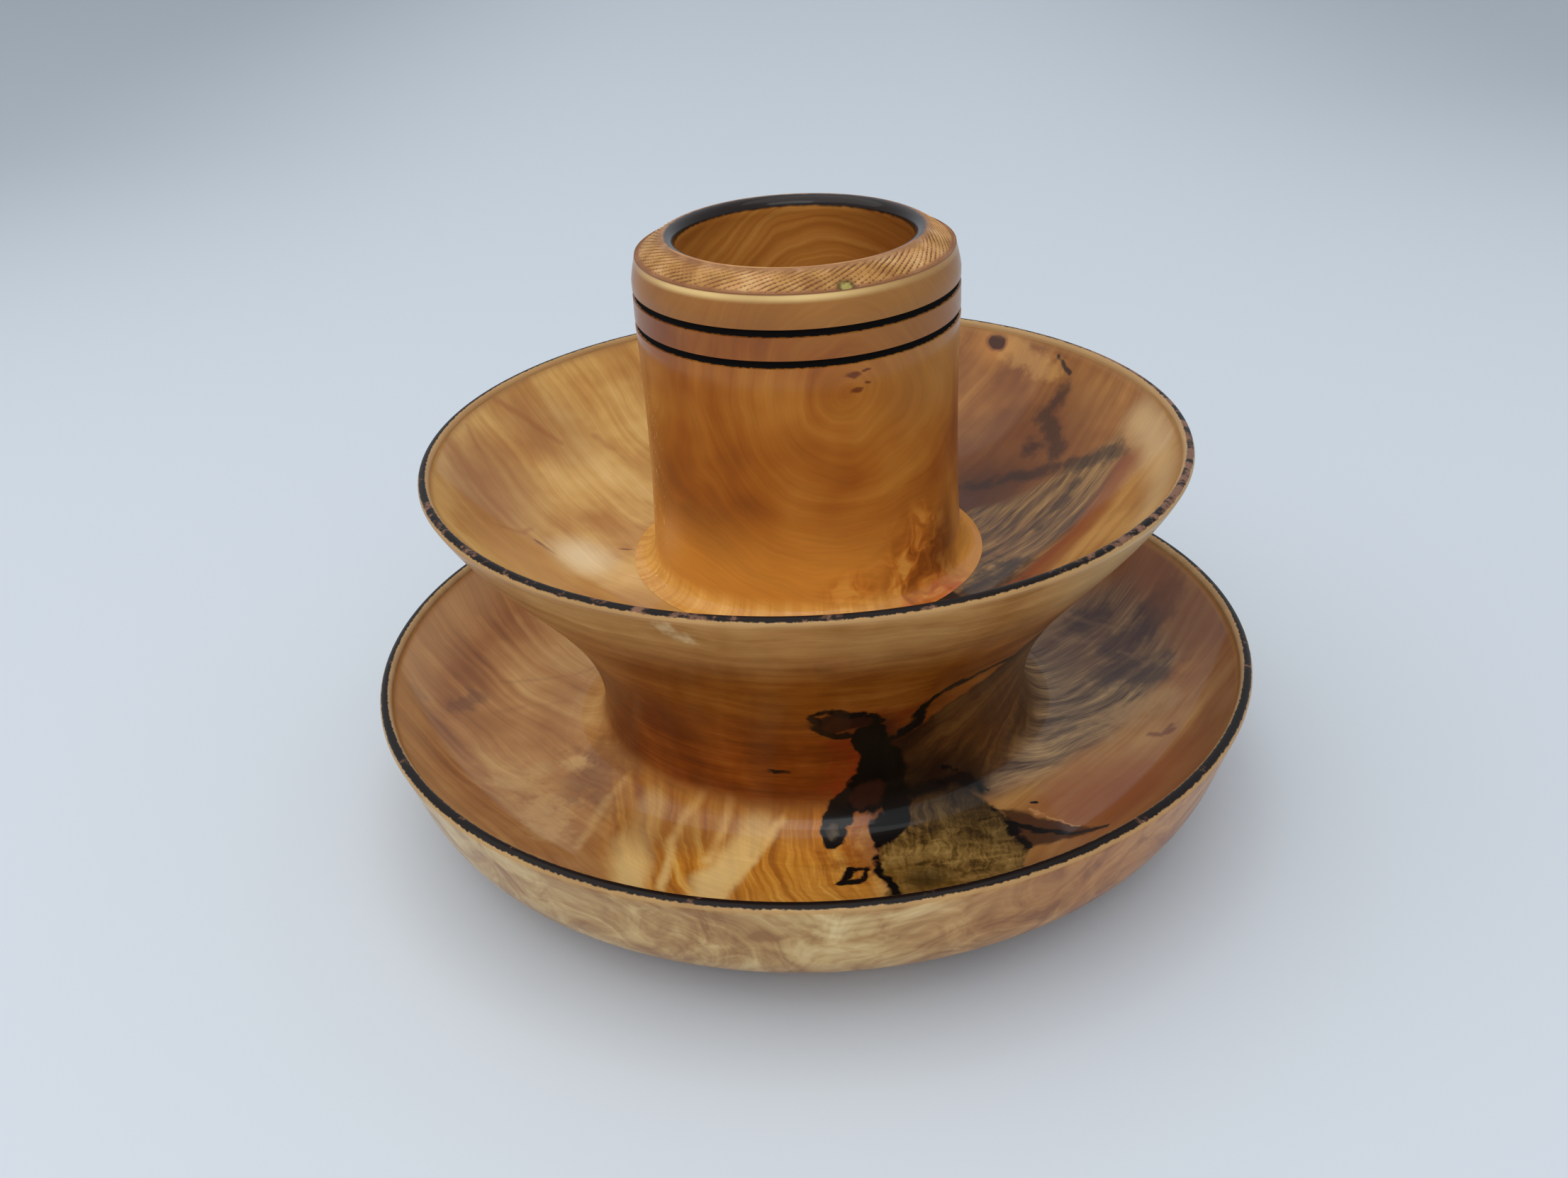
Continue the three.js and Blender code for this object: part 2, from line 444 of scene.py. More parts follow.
def add_operator(name, operation):
    """Gives terms a Python operator, with the term on its left or on its right."""
    setattr(Term, f"__{name}__", lambda self, other: self.kit.math(operation, self, other))
    setattr(Term, f"__r{name}__", lambda self, other: self.kit.math(operation, other, self))


for name, operation in (("add", "ADD"), ("sub", "SUBTRACT"), ("mul", "MULTIPLY"), ("truediv", "DIVIDE")):
    add_operator(name, operation)


def linear(code):
    """A hex colour, as the eye sees it, to the shader's linear red, green, blue and alpha."""
    channels = [int(code[i:i + 2], 16) / 255 for i in (1, 3, 5)]
    return (*[c / 12.92 if c <= 0.04045 else ((c + 0.055) / 1.055) ** 2.4 for c in channels], 1)


def segment_group():
    """A node group that gives a point's distance from the straight line between two others."""
    group = bpy.data.node_groups.new("segment_distance", "ShaderNodeTree")
    for name in ("Point", "From", "To"):
        group.interface.new_socket(name, in_out="INPUT", socket_type="NodeSocketVector")
    group.interface.new_socket("Distance", in_out="OUTPUT", socket_type="NodeSocketFloat")
    start = group.nodes.new("NodeGroupInput")
    end = group.nodes.new("NodeGroupOutput")

    def step(kind, operation, *values):
        node = group.nodes.new(kind)
        node.operation = operation
        for slot, value in enumerate(values):
            if isinstance(value, bpy.types.NodeSocket):
                group.links.new(value, node.inputs[slot])
            else:
                node.inputs[slot].default_value = value
        return node

    def vector(operation, *values):
        return step("ShaderNodeVectorMath", operation, *values)

    def scalar(operation, *values):
        return step("ShaderNodeMath", operation, *values).outputs[0]

    offset = vector("SUBTRACT", start.outputs[0], start.outputs[1]).outputs[0]
    run = vector("SUBTRACT", start.outputs[2], start.outputs[1]).outputs[0]
    along = vector("DOT_PRODUCT", offset, run).outputs[1]
    whole = vector("DOT_PRODUCT", run, run).outputs[1]
    share = scalar("MINIMUM", scalar("MAXIMUM", scalar("DIVIDE", along, whole), 0), 1)
    foot = vector("SCALE", run)
    group.links.new(share, foot.inputs[3])
    rest = vector("SUBTRACT", offset, foot.outputs[0]).outputs[0]
    group.links.new(vector("LENGTH", rest).outputs[1], end.inputs[0])
    return group


class Kit:
    """One material, and the words that its recipe is written in. Places are in mm. The edges of
    strokes, spots, blots and patches waver as much as the place that marks is set to."""

    def __init__(self, name):
        self.material = bpy.data.materials.new(name)
        self.material.use_nodes = True
        self.tree = self.material.node_tree
        self.shader = self.tree.nodes["Principled BSDF"]
        where = self.term("TexCoord", {}, "Object")
        self.place = self.vector("SCALE", where, Scale=1 / MM)
        self.x, self.y, self.z = self.split(self.place)
        self.r = self.length2(self.x, self.y)
        self.marks = self.place

    def node(self, kind, inputs, **settings):
        node = self.tree.nodes.new("ShaderNode" + kind)
        for name, value in settings.items():
            setattr(node, name, value)
        for key, value in inputs.items():
            if isinstance(value, Term):
                self.tree.links.new(value.socket, node.inputs[key])
            else:
                node.inputs[key].default_value = value
        return node

    def term(self, kind, inputs, output=0, **settings):
        return Term(self, self.node(kind, inputs, **settings).outputs[output])

    def math(self, operation, *values):
        return self.term("Math", dict(enumerate(values)), operation=operation)

    def vector(self, operation, *values, **named):
        inputs = {**dict(enumerate(values)), **named}
        scalar = operation in ("DOT_PRODUCT", "LENGTH", "DISTANCE")
        return self.term("VectorMath", inputs, 1 if scalar else 0, operation=operation)

    def split(self, place):
        return [self.vector("DOT_PRODUCT", place, axis) for axis in ((1, 0, 0), (0, 1, 0), (0, 0, 1))]

    def joined(self, x, y, z):
        return self.term("CombineXYZ", {0: x, 1: y, 2: z})

    def length2(self, x, y):
        return self.math("SQRT", x * x + y * y)

    def noise(self, place, size, detail=2.0, roughness=0.5, distortion=0.0):
        """Cloudy noise from 0 to 1, mostly near 0.5, with clouds of about the given size."""
        inputs = {"Vector": place, "Scale": 1 / size, "Detail": detail, "Roughness": roughness}
        inputs["Distortion"] = distortion
        return self.term("TexNoise", inputs)

    def warped(self, place, size, amount, detail=1.0):
        """A place moved about by up to roughly the amount."""
        inputs = {"Vector": place, "Scale": 1 / size, "Detail": detail}
        cloud = self.term("TexNoise", inputs, 1)
        shift = self.vector("SUBTRACT", cloud, (0.5, 0.5, 0.5))
        return self.vector("ADD", place, self.vector("SCALE", shift, Scale=4 * amount))

    def flowing(self, size, amount, fine_size, fine_amount):
        """This point's place, moved about in large waves and then in small ones."""
        return self.warped(self.warped(self.place, size, amount), fine_size, fine_amount, 2)

    def wobbled(self):
        """This point's place, moved about by a millimetre or two, for stains and lines."""
        return self.warped(self.warped(self.warped(self.place, 14, 0.7), 5, 0.3), 2, 0.12)

    def rise(self, value, start, end):
        """Goes smoothly from 0 at the start to 1 at the end. The end may be the lower of the two."""
        inputs = {0: value, 1: start, 2: end}
        return self.term("MapRange", inputs, interpolation_type="SMOOTHSTEP")

    def lower(self, *values):
        return reduce(lambda first, second: self.math("MINIMUM", first, second), values)

    def higher(self, *values):
        return reduce(lambda first, second: self.math("MAXIMUM", first, second), values)

    def colour(self, value):
        """A hex code in linear light. Anything else stays as it is."""
        return linear(value) if isinstance(value, str) else value

    def mix(self, first, second, share):
        inputs = {0: share, 6: self.colour(first), 7: self.colour(second)}
        return self.term("Mix", inputs, 2, data_type="RGBA")

    def paint(self, colour, share):
        """Lays a colour over the base colour, where the share is above 0."""
        self.base = self.mix(self.base, colour, share)

    def shade(self, amount):
        """Makes the base colour lighter or darker by a factor."""
        self.base = self.vector("SCALE", self.base, Scale=amount)

    def ramp(self, value, *stops):
        node = self.node("ValToRGB", {0: value})
        points = node.color_ramp.elements
        while len(points) < len(stops):
            points.new(0.5)
        for point, (position, code) in zip(points, stops):
            point.position = position
            point.color = linear(code)
        return Term(self, node.outputs[0])

    def distance(self, points):
        """How far this point is from a chain of points."""
        if len(points) == 1:
            return self.vector("DISTANCE", self.marks, points[0])
        gaps = []
        for first, second in zip(points, points[1:]):
            node = self.node("Group", {}, node_tree=SEGMENT_GROUP)
            self.tree.links.new(self.marks.socket, node.inputs[0])
            node.inputs[1].default_value = first
            node.inputs[2].default_value = second
            gaps.append(Term(self, node.outputs[0]))
        return self.lower(*gaps)

    def stroke(self, points, width, edge=0.35):
        """1 within half the width of a chain of points, fading to 0 over an edge."""
        gap = self.distance(points)
        return self.rise(gap, width / 2 * (1 + edge), width / 2 * (1 - edge))

    def spot(self, middle, size, edge=0.4):
        """1 inside an ellipsoid with the given half axes, fading to 0 over an edge."""
        offset = self.vector("DIVIDE", self.vector("SUBTRACT", self.marks, middle), size)
        return self.rise(self.vector("LENGTH", offset), 1 + edge, 1 - edge)

    def blot(self, points, width, size):
        """A stain along a chain of points, with a soft uneven edge made of clouds of a size."""
        cloud = self.noise(self.place, size, 3, 0.6)
        return self.rise(self.distance(points) / width + 3 * (cloud - 0.5), 1.5, 0.2)

    def patch(self, corners, edge):
        """1 inside a convex patch seen from above. Its corners go anticlockwise."""
        x, y, _ = self.split(self.marks)
        sides = []
        for (x1, y1), (x2, y2) in zip(corners, corners[1:] + corners[:1]):
            run = math.dist((x1, y1), (x2, y2))
            across, along = (y1 - y2) / run, (x2 - x1) / run
            sides.append(across * x + along * y - (across * x1 + along * y1))
        return self.rise(self.lower(*sides), -edge, edge)

    def finish(self, relief, roughness, coat=COAT):
        """Links the base colour, the relief in mm, the roughness and the weight of the lacquer."""
        bump = self.node("Bump", {"Height": relief, "Distance": MM, "Strength": 1.0})
        self.tree.links.new(self.base.socket, self.shader.inputs["Base Color"])
        self.tree.links.new(bump.outputs[0], self.shader.inputs["Normal"])
        self.tree.links.new(roughness.socket, self.shader.inputs["Roughness"])
        if isinstance(coat, Term):
            self.tree.links.new(coat.socket, self.shader.inputs["Coat Weight"])
        else:
            self.shader.inputs["Coat Weight"].default_value = coat
        self.shader.inputs["Coat Roughness"].default_value = COAT_ROUGHNESS
        self.shader.inputs["Specular IOR Level"].default_value = SPECULAR_LEVEL
        return self.material


# ---- the wood

PITH = (15, -50, 168)
PITH_DIRECTION = tuple(Vector((-0.05, 0.92, -0.39)).normalized())
CROTCH_X = 12
CROTCH_ROUNDING = 30
CROTCH_SLOPE = 1.07
FIBRE_RELIEF = 0.05
KNOT = (78, 96, 127.6)

CHAR = "#090605"
LIP_CHAR = "#150c09"
WORN_CHAR = "#7d5844"
MOUTH_CHAR = "#1d100c"

# The black bark inclusion, from the waist to the dish's lip
BEAN_RIM = [(-2, -88.5, 75), (4, -90, 77), (9, -87, 73.5), (15, -87, 74), (19.5, -82, 68.5),
            (16, -80, 63), (6, -81, 62.5), (1, -83.6, 67), (-2, -88.5, 75)]
JAG = [(20, -76, 55), (31.8, -75, 62), (34.6, -78.6, 71.3), (41.5, -79.3, 77.3), (51.9, -75.1, 80),
       (66, -62, 79)]
MASS = [(17, -80, 61), (19.5, -76.5, 53), (19, -75, 45), (17, -76, 35)]
MASS_SIDE = [(23, -74, 48), (25, -74, 41)]
LEFT_LOBE = [(14, -76, 40), (9, -78, 34), (5.5, -80, 29)]
SLAB_EDGE = [(24, -73, 39), (31, -72, 33), (45, -62.5, 32), (54, -61, 27)]
LOBE_TIP = [(4.5, -82, 26.5), (3.8, -83, 25.6)]
RIGHT_LOBE = [(24, -73, 40), (25.5, -75.5, 30), (26, -78, 26.5), (21, -81, 25)]
SEAM = [(21, -81, 25), (17.8, -86, 23), (16.6, -91, 22), (18.6, -99, 21.5), (20, -104, 22),
        (22.5, -111, 23.5), (23, -122, 28), (23, -151, 54)]
LOOP = [(5.6, -104, 21.7), (8.4, -97, 21.2), (14, -96, 21.3), (14.6, -100.5, 21.6), (10.6, -103, 21.7),
        (5.6, -104, 21.7)]
SIDE_BARK = [(60, -67.5, 22.5), (63.4, -76.7, 21.4), (66.7, -90.6, 23.4)]
WING = [(64, -75, 21.5), (72, -82, 22.5), (82, -88, 26), (92, -91, 30.6)]
WING_EDGE = [(70.6, -68.3, 21.3), (77, -75.3, 22.5), (84.5, -83.8, 25.6)]
SIDE_BRANCH = [(47.5, -62, 33), (57, -59.5, 26), (64.6, -62.4, 22.7), (73, -64, 21.4)]

# Each with its width in mm and, where it isn't the usual one, the softness of its edge
BARK_STROKES = [
    (BEAN_RIM, 3.6), (JAG[:3], 4.2), (JAG[2:], 3), (MASS, 11.5, 0.12), (MASS_SIDE, 10, 0.2),
    (SLAB_EDGE, 4.5, 0.7), (LEFT_LOBE, 9, 0.12), (LOBE_TIP, 8, 0.12), (RIGHT_LOBE, 10, 0.12),
    (SEAM, 3.6), (LOOP, 3), (SIDE_BARK, 4.4), (WING, 3.2), (SIDE_BRANCH, 1.7),
]

# Bright silky stripes at the front left of the dish: painted sheen of the figured wood
THIN_STRIPES = [
    [(-60, -47.6, 40), (-67.5, -47, 26.4), (-74, -52, 22.5), (-77.3, -65.2, 21.5), (-79, -82, 24)],
    [(-37.5, -67.8, 35.7), (-45.6, -69.3, 25.6), (-49.7, -78.6, 21.2), (-51, -100, 22.5), (-50, -118, 27)],
    [(-30, -71.7, 34.3), (-32, -74, 28), (-34.8, -78.2, 23.8), (-38, -88, 22)],
    [(-13, -79, 29), (-15.2, -80.3, 26.9), (-20.6, -86.5, 22.9), (-30.2, -101, 22), (-33, -118, 27)],
]
BROAD_STRIPES = [
    [(-57, -60, 25), (-62.5, -78, 21.3), (-62, -105, 26), (-55, -140, 50)],
    [(-22, -78, 26), (-29, -88, 22), (-35.4, -100, 21.7), (-36, -112, 25), (-36, -146, 50)],
]


def pith_rings(kit, place):
    """The growth rings round the branch that the cup was cut across: the distance from its pith, and
    the way along it."""
    offset = kit.vector("SUBTRACT", place, PITH)
    along = kit.vector("DOT_PRODUCT", offset, PITH_DIRECTION)
    foot = kit.vector("SCALE", PITH_DIRECTION, Scale=along)
    return kit.vector("LENGTH", kit.vector("SUBTRACT", offset, foot)), along


def crotch_rings(kit, place):
    """The growth lines of the forked log that the dish and the bowl were cut from, which open to the
    back in a V, and the distance from the middle of the fork."""
    x, y, z = kit.split(place)
    aside = kit.length2(x - CROTCH_X, CROTCH_ROUNDING)
    return 0.2 * z + y - CROTCH_SLOPE * aside, aside


def grain(kit, level, along, spacing, fibre):
    """Growth bands where the level is even, and fine fibres along them. Both are about 0.5."""
    bands = kit.noise(kit.joined(level / spacing, along / (14 * spacing), 3.7), 1, 3, 0.6)
    fibres = kit.noise(kit.joined(level / fibre, along / (24 * fibre), 8.1), 1, 2, 0.65)
    return bands, fibres


def sapwood_grain(kit, bend, across, along, spacing, fibre):
    """The nearly straight streaks and hairs of the grey sapwood."""
    x, y, _ = kit.split(kit.warped(kit.place, 40, bend))
    return grain(kit, across * x - along * y, kit.x + kit.y, spacing, fibre)


def mixed(first, second, share):
    """A number part of the way between two."""
    return first + (second - first) * share


def show_fibres(kit, fibres):
    """Gives the base colour the light and shade of its fibres."""
    kit.shade(0.84 + 0.32 * fibres)


def lacquered(kit, rough, fibres, coat=COAT):
    """Fibrous wood under clear lacquer."""
    show_fibres(kit, fibres)
    return kit.finish(FIBRE_RELIEF * fibres, rough, coat)


def lip(kit, rough, radius, height, size, wear):
    """Burns a lip black over its top, with a ragged edge and spots worn to brown. To the sides and the
    back the burn is a thinner line. Gives the roughness and the weight of the lacquer."""
    ragged = size * 0.5 * (kit.noise(kit.place, 1.8, 2, 0.6) - 0.5)
    top = kit.rise(kit.z - height + ragged, 0.5 * size, 0.7 * size)
    back = size * kit.rise(kit.y + 0.25 * kit.math("ABSOLUTE", kit.x), -70, 50)
    out = kit.rise(kit.r - radius + ragged - 0.3 * back, -0.62 * size, -0.42 * size)
    char = top * out
    spots = kit.noise(kit.place, 6.5, 4, 0.65) + wear
    tone = kit.mix(LIP_CHAR, WORN_CHAR, kit.rise(spots, 0.58, 0.72))
    kit.paint("#b18a58", 0.8 * kit.rise(kit.z - height, -0.2, 0.3))
    kit.paint(tone, char)
    return mixed(rough, 0.45, char), 0.4 - 0.25 * char


def bark_figure(kit):
    """The bark inclusion, with its loop and its slab of grey sapwood, on whichever piece it crosses."""
    smooth = kit.warped(kit.warped(kit.place, 8, 1.4), 2.6, 0.5)
    x, y, z = kit.split(smooth)
    kit.marks = kit.warped(smooth, 1, 0.16)
    olive_wood(kit, x, y, z)
    slab = sapwood_slab(kit, smooth, x, y)
    bark_wing(kit, slab)
    black_bark(kit, x)


def olive_wood(kit, x, y, z):
    """The reddish wood round the bark, and the olive wood to its right on the stem, made dark there partly
    as painted shade.
    """
    ember = kit.blot(MASS + SEAM[:3], 13, 6)
    kit.paint("#84280a", 0.6 * ember)

    # painted shade: the olive below the jag line is dark partly for the shade on the stem under the bowl
    below = kit.rise(57 + 0.62 * (x - 25.6) - z, 0, 2.5) * kit.rise(x, 22, 28)
    dusk = below * kit.rise(kit.z, 21, 30) * kit.rise(kit.r, 108, 100) * kit.rise(kit.y, 56, 26)
    gap = kit.distance(JAG)
    streak = kit.noise(kit.joined((z - 0.6 * x) / 6, (x + y) / 40, 2.1), 1, 3, 0.6)
    olive = kit.ramp(streak, (0.36, "#3f2510"), (0.5, "#553618"), (0.64, "#6d4b22"))
    olive = kit.mix(olive, "#150c06", 0.95 * kit.rise(gap, 20, 2))
    kit.paint(olive, 0.9 * dusk)


def sapwood_slab(kit, smooth, x, y):
    """The slab of sapwood at the front of the dish. Gives where it is."""
    outline = [(18, -86), (22, -154), (52, -148), (67, -94), (60, -66), (45, -62), (28, -76)]
    slab = kit.patch(outline, 0.9) * kit.rise(kit.z - 0.7 * kit.higher(kit.r - 110, 0), 34, 27)
    swirl = kit.noise(kit.vector("MULTIPLY", smooth, (0.5, 1, 0.7)), 8, 3, 0.65, 0.9)
    lines = kit.noise(kit.joined(x / 1.2, (y + 0.5 * x) / 11, 0.3), 1, 2, 0.6)
    wood = kit.ramp(0.65 * swirl + 0.35 * lines, (0.36, "#3f2c12"), (0.46, "#745526"), (0.55, "#9f7a3f"),
                    (0.66, "#bf9a58"))
    wood = kit.mix(wood, "#8c6018", 0.55 * kit.rise(y + 0.5 * x, -72, -96))
    # painted shade: the slab darkens toward the stem, under the bowl
    wood = kit.mix(wood, "#2a1e12", 0.5 * kit.rise(y + 0.4 * (x - 20), -84, -64))
    eye = kit.spot((33, -104, 22), (7, 6, 6), 0.8)
    wood = kit.mix(wood, "#33270f", 0.7 * eye)
    kit.paint(wood, slab)
    return slab


def bark_wing(kit, slab):
    wing = kit.patch([(63, -77), (67, -92), (94, -92), (84, -83), (70, -67), (61, -67)], 1.5)
    wing = wing * kit.rise(kit.z, 34, 28)
    red = kit.spot((96, -68, 28), (34, 26, 18), 0.8)
    kit.paint("#a4531b", 0.8 * red * (1 - slab) * kit.rise(kit.r, 92, 100))
    kit.paint("#341208", 0.85 * wing)
    kit.paint("#d99b62", 0.8 * kit.stroke(WING_EDGE, 1.6))


def black_bark(kit, x):
    """The black bark, and beside it a dark halo of dark wood and painted shadow."""
    # painted shadow: a dark halo along the slab's top edge beside the bark, partly dark wood
    scorch = kit.stroke(MASS + [(26, -73, 38), (38, -69, 35), (50, -62.5, 32)], 21, 0.7)
    kit.paint("#1e1008", 0.85 * scorch * kit.rise(x, 14, 22))
    bean = kit.spot((8.5, -86, 69.5), (11.5, 9, 6), 0.15)
    kit.paint("#210a05", 0.95 * bean)
    strokes = [kit.stroke(*stroke) for stroke in BARK_STROKES]
    speck = kit.spot((-13, -76.5, 46), (3, 2, 1))
    twig = kit.stroke([(42, -65, 38), (47, -61, 34.5)], 1.6)
    black = kit.higher(*strokes, speck, twig)
    kit.paint(CHAR, black)
    kit.paint("#665a47", 0.8 * kit.spot((4.2, -82.3, 26.2), (2, 2, 2.4), 0.3))
    disc = kit.spot((17, -76, 36), (6.5, 5, 5), 0.2)
    kit.paint("#34170b", 0.85 * disc)


def silk(kit):
    """Amber wood at the front left of the dish, up on to the stem's foot, and bright silky stripes across
    the grain painted on it as painted sheen.
    """
    smooth = kit.warped(kit.warped(kit.place, 22, 1.6), 5, 0.35)
    x, y, z = kit.split(smooth)
    kit.marks = kit.warped(smooth, 1.4, 0.1)
    zone = kit.patch([(-70, -46), (-66, -160), (24, -160), (16, -90), (2, -70)], 5)
    zone = zone * kit.rise(kit.z - 0.6 * kit.higher(kit.r - 120, 0), 38, 27)
    lean = x + 0.2 * (y + 80) - 0.3 * kit.higher(z - 21, 0)
    fine = kit.noise(kit.joined(lean / 3.4, y / 55, 5.2), 1, 2.5, 0.6)
    amber = kit.ramp(fine, (0.36, "#b0681a"), (0.48, "#d48825"), (0.58, "#eaa43c"), (0.68, "#fcc45f"))
    kit.paint(amber, 0.88 * zone)
    shade = kit.rise(y, -92, -76) * kit.rise(x, 2, -8)
    kit.paint("#6f4530", 0.5 * shade * zone)
    outward = kit.rise(y, -66, -98)
    # painted sheen: the bright stripes stand for the figure's shimmer
    for chain in BROAD_STRIPES:
        painted_sheen = kit.rise(kit.distance(chain), 9.5, 2.5)
        kit.paint("#ffdd92", painted_sheen * (0.2 + 0.7 * outward))
    for chain in THIN_STRIPES:
        painted_sheen = kit.rise(kit.distance(chain), 3.2, 0.2)
        kit.paint("#ffd98a", painted_sheen * (0.22 + 0.6 * outward))


def shaded_waist_wood(kit):
    """The stem's warm wood, painted dark as painted shade where little light gets in under the bowl."""
    cloud = kit.noise(kit.place, 26, 3, 0.55)
    lines = kit.noise(kit.joined(kit.z / 2.6, (kit.x + 0.7 * kit.y) / 34, 4.4), 1, 3, 0.6)
    return kit.ramp(0.6 * cloud + 0.4 * lines, (0.36, "#5e2a06"), (0.48, "#733608"), (0.58, "#884611"),
                    (0.68, "#9c5a20"))


def dish_inside():
    """The dish's inside, which runs on up the foot of the stem."""
    kit = Kit("dish_inside")
    wavy = kit.flowing(60, 5, 11, 0.6)
    x, y, _ = kit.split(wavy)
    level, aside = crotch_rings(kit, wavy)
    bands, fibres = grain(kit, level, aside, 7, 1.1)
    cloud = kit.noise(kit.place, 30, 3, 0.55)
    tone = 0.5 * bands + 0.5 * cloud
    kit.marks = kit.wobbled()
    floor = kit.ramp(tone, (0.36, "#a86e36"), (0.47, "#be8546"), (0.56, "#cc9757"), (0.66, "#dcad6c"))
    # painted reflection: the outer ramp is a darker copy of the floor's, for the bowl's dark underside
    # mirrored in the dish's sloping side
    wall_with_painted_reflection = kit.ramp(tone, (0.36, "#925a2e"), (0.47, "#ad723c"), (0.56, "#c48c50"), (0.66, "#d6a265"))
    kit.base = kit.mix(floor, wall_with_painted_reflection, kit.rise(kit.r + 10 * (cloud - 0.5), 116, 134))
    dish_left_marks(kit)
    dish_sapwood(kit)
    dish_red_wood(kit, tone)
    dish_rim_tones(kit, x, y)
    silk(kit)
    # painted shade: the dark stem colour is laid over the foot of the stem
    shaded_stem_wood = shaded_waist_wood(kit)
    kit.paint(shaded_stem_wood, kit.rise(kit.z + 6 * (cloud - 0.5), 27, 37) * kit.rise(kit.r, 95, 93))
    bark_figure(kit)
    kit.paint("#b98140", 0.7 * kit.rise(kit.z, DISH_RIM - 2.5, DISH_RIM))
    return lacquered(kit, 0.34 + 0.2 * fibres, fibres)


def dish_left_marks(kit):
    lines = kit.higher(
        kit.stroke([(-120, 21, 26.6), (-106, 27.7, 22.9), (-94, 32.4, 21.5), (-70, 48, 21)], 1.8, 0.9),
        kit.stroke([(-120, -0.5, 26), (-109, 8.4, 22.8), (-96, 14, 21.3)], 2.4, 0.9),
        kit.stroke([(-149, 26, 53), (-142.7, 21, 44), (-135, 17, 36), (-129, 12, 31)], 2.2, 0.9),
        kit.stroke([(-144, -18, 45), (-142, -29, 44.5), (-136, -38, 40)], 1.6, 0.9),
    )
    kit.paint("#7a4a2a", 0.16 * lines)
    smudges_and_painted_shade = kit.higher(
        kit.blot([(-144, -13, 44)], 5, 6),
        kit.blot([(-133, -6, 33), (-127, 6, 30)], 4, 6),
        # painted shade: this last blot darkens the wood beside the foot of the stem; the two above are
        # brown stains
        kit.blot([(-78, -34, 23), (-72, -44, 25)], 15, 9),
    )
    kit.paint("#6b4130", 0.5 * smudges_and_painted_shade)
    # painted sheen: bright patches of shimmer in the figure
    painted_sheen = kit.higher(
        kit.blot([(-104, -43, 23.4)], 12, 9),
        kit.blot([(-93, -56, 22.6), (-92, -72, 25)], 8, 8),
        kit.blot([(-87, -30, 22)], 6, 8),
    )
    kit.paint("#e6bb79", 0.6 * painted_sheen)


def dish_sapwood(kit):
    streaks, hairs = sapwood_grain(kit, bend=3, across=0.55, along=0.83, spacing=4.2, fibre=0.8)
    grey = kit.ramp(0.65 * streaks + 0.35 * hairs, (0.38, "#4d382c"), (0.46, "#7d634a"), (0.54, "#a18059"),
                    (0.62, "#c4a070"))
    fan = kit.patch([(50, -62), (74, -58), (100, -32), (136, -6), (130, 60), (70, 70), (52, 10)], 5)
    kit.paint(grey, 0.94 * fan)
    far = kit.patch([(96, 14), (150, 0), (150, 60), (90, 110), (70, 60)], 12)
    kit.paint("#6a4431", 0.6 * far)
    smoke = kit.higher(
        kit.blot([(117, 29, 26), (124, 30, 29), (138, 37, 43)], 9, 8),
        kit.blot([(116, 12, 25), (127, 1, 30)], 9, 9),
        kit.blot([(112, 48, 25)], 10, 9),
    )
    kit.paint("#352229", 0.68 * smoke)
    bright = kit.higher(
        kit.stroke([(103, 57, 25), (121, 36, 29)], 2.2, 0.8),
        kit.stroke([(96, 44, 22), (109, 35.6, 24)], 3.4, 0.8),
        kit.stroke([(117.5, 24.6, 26), (125, 11, 28.5)], 1.6, 0.8),
    )
    kit.paint("#b98d68", 0.16 * bright)


def dish_red_wood(kit, tone):
    pale = kit.blot([(106, -20, 22.5), (125, -13, 28.6)], 8, 9)
    kit.paint("#c69a66", 0.7 * pale)
    orange = kit.patch([(70, -62), (104, -34), (126, -38), (150, -70), (100, -140), (84, -84)], 5)
    rust = kit.ramp(tone, (0.38, "#994a1e"), (0.5, "#b05c29"), (0.62, "#c3783c"))
    kit.paint(rust, 0.85 * orange)


def dish_rim_tones(kit, x, y):
    gold = kit.rise(kit.r, 126, 142) * kit.rise(y, -50, -80) * kit.rise(x, 60, 100)
    kit.paint("#bd8045", 0.6 * gold)
    brown = kit.rise(kit.r, 132, 146) * kit.rise(x, 90, 116)
    kit.paint("#8a5230", 0.55 * brown)
    light = kit.rise(kit.r, 134, 148) * kit.rise(x, -70, -110)
    kit.paint("#dcae76", 0.5 * light)
    knot = kit.higher(kit.stroke([(117, -35, 27), (121, -39, 29), (125, -35, 30)], 2.4, 0.8),
                      kit.spot((123, -38.5, 30), (2.4, 1.8, 3)))
    kit.paint("#743219", 0.7 * knot)


def dish_outside():
    kit = Kit("dish_outside")
    place = kit.flowing(40, 7, 8, 1)
    level, aside = crotch_rings(kit, place)
    bands, fibres = grain(kit, level + 0.8 * kit.z, aside, 7, 1.1)
    swirl = kit.noise(place, 16, 3, 0.6, 0.9)
    tone = 0.5 * bands + 0.5 * swirl
    # painted light: the pale cream ramp is partly the light of the pale floor reflected on the underside;
    # the warmer ramp shows toward the right and the bottom
    pale = kit.ramp(tone, (0.38, "#926538"), (0.47, "#ad8550"), (0.55, "#c4a16a"), (0.66, "#d8bc87"))
    warm = kit.ramp(tone, (0.38, "#854e26"), (0.48, "#a46a35"), (0.58, "#b98045"), (0.68, "#ca9659"))
    kit.base = kit.mix(pale, warm, kit.rise(kit.x - 0.6 * kit.y, 95, 165))
    kit.paint(warm, 0.7 * kit.rise(kit.z, 26, 10))
    rough = 0.32 + 0.2 * fibres
    rough, coat = lip(kit, rough, DISH_RADIUS - DISH_LIP, DISH_RIM, DISH_LIP, -0.03)
    return lacquered(kit, rough, fibres, coat)


